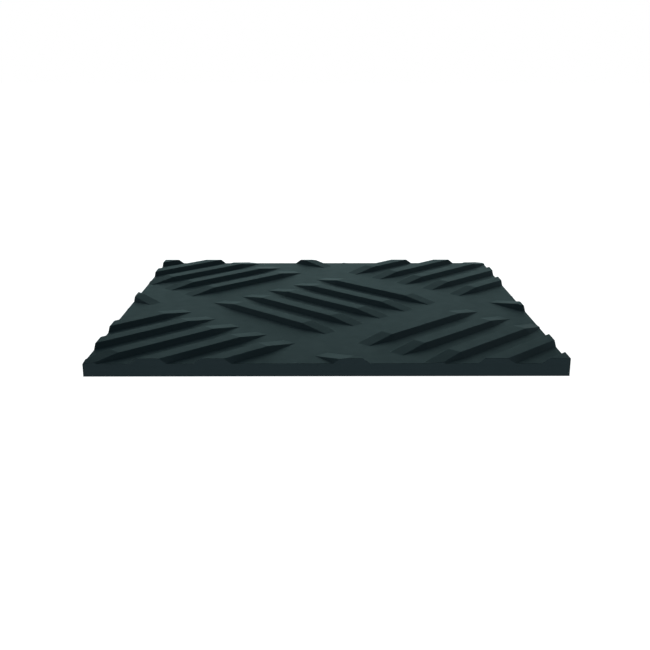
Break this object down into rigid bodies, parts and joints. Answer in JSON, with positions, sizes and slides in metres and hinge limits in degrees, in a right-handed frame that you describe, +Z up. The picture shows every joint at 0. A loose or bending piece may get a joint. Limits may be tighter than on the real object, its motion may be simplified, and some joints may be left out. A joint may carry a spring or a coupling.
{
  "type": "seedling heat mat",
  "caption": "Square rubber heat mat with a raised bar tread top, a sealed heating cable inside and a cord gland in its back edge.",
  "frame": {"origin": "centre of the underside, on the surface the mat lies on", "axes": "+Z up through the thickness, +X to the right along the front edge, +Y to the back edge with the cord entry; -Y is the front"},
  "size_m": [0.508, 0.508, 0.0196],
  "materials": {
    "tread_rubber": "matt moulded black rubber with a green-blue cast",
    "edge_rubber": "matt cut black rubber",
    "base_rubber": "matt black rubber with a fabric impression",
    "foam": "closed-cell foam",
    "carrier_rubber": "matt soft rubber",
    "silicone": "satin silicone",
    "resistance_wire": "drawn alloy wire",
    "film": "glossy insulating film",
    "aluminium_sheet": "rolled mill finish",
    "case_plastic": "fine-grained moulded plastic",
    "gland_plastic": "moulded black plastic",
    "seal_rubber": "matt rubber",
    "spring_steel": "bright spring steel",
    "screw_steel": "zinc plated",
    "block_plastic": "natural moulded plastic",
    "brass": "turned brass",
    "live_insulation": "brown wire insulation",
    "neutral_insulation": "blue wire insulation",
    "crimp_copper": "tinned copper",
    "shrink_sleeve": "heat-shrink sleeve",
    "cutout_plastic": "moulded heat-resistant plastic"
  },
  "bodies": {
    "mat": {"tread_sheet": "tread_rubber", "edge_strip_front": "edge_rubber", "edge_strip_back": "edge_rubber", "edge_strip_left": "edge_rubber", "edge_strip_right": "edge_rubber", "base_sheet": "base_rubber", "gland_bush": "gland_plastic", "insulation_foam": "foam", "insulation_film": "film", "heat_spreader": "aluminium_sheet", "heating_wire": "resistance_wire", "heating_cable_sheath": "silicone", "cable_carrier": "carrier_rubber", "junction_case": "case_plastic", "junction_lid": "case_plastic", "junction_lid_screws": "screw_steel", "gland_seal": "seal_rubber", "gland_clip": "spring_steel", "cord_clamp": "case_plastic", "cord_clamp_screws": "screw_steel", "terminal_block": "block_plastic", "terminal_sleeves": "brass", "terminal_screws": "screw_steel", "live_lead": "live_insulation", "neutral_lead": "neutral_insulation", "splice_sleeve": "crimp_copper", "splice_cover": "shrink_sleeve", "cutout_case": "cutout_plastic", "cutout_cover": "cutout_plastic", "cutout_root_strip": "brass", "cutout_fixed_strip": "brass"},
    "blade": {"cutout_blade": "spring_steel"}
  },
  "joints": [
    {"name": "cutout_blade_swing", "type": "hinge", "parent": "mat", "child": "blade", "pos_m": [-0.01845, 0.207, 0.00683], "axis": [0, 1, 0], "range_deg": [0, 4], "stiffness_Nm_per_rad": 0.002, "springref_deg": -1.15}
  ]
}
